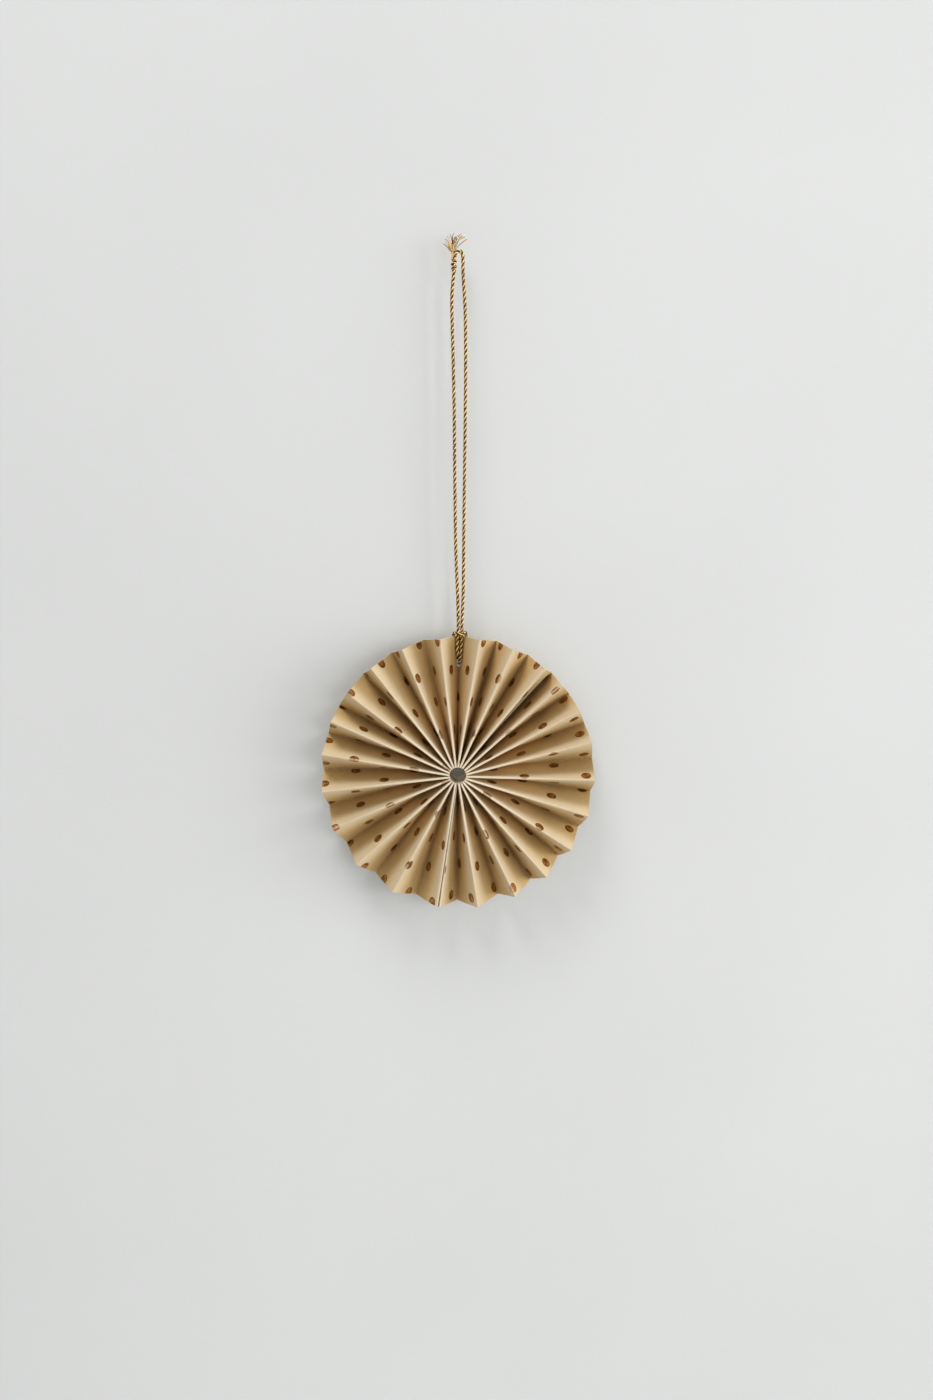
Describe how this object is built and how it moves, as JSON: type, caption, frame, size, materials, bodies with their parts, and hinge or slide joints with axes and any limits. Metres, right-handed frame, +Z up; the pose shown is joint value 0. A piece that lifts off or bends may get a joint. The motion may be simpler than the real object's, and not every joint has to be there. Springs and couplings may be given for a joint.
{
  "type": "paper fan rosette",
  "caption": "Round fan rosette of accordion-folded printed card with an open hub, hung from a twisted cord that is hitched through a hole near the rim and knotted into a loop.",
  "frame": {"origin": "middle of the rosette, on the axis of its hub and halfway through its depth", "axes": "+Z up along the hanging cord, -Y out of the printed front, +X to the right as the front shows it"},
  "size_m": [0.1, 0.0161, 0.2428],
  "materials": {
    "printed_kraft": "matt kraft card printed with foil dots, pale where the folds have worn",
    "gold_thread": "twisted gold metal thread",
    "loose_thread": "frayed pale gold thread"
  },
  "bodies": {
    "root": {"right_strip": "printed_kraft", "left_strip": "printed_kraft", "hanging_cord": "gold_thread", "end_knot": "gold_thread", "frayed_tails": "loose_thread"}
  },
  "joints": []
}
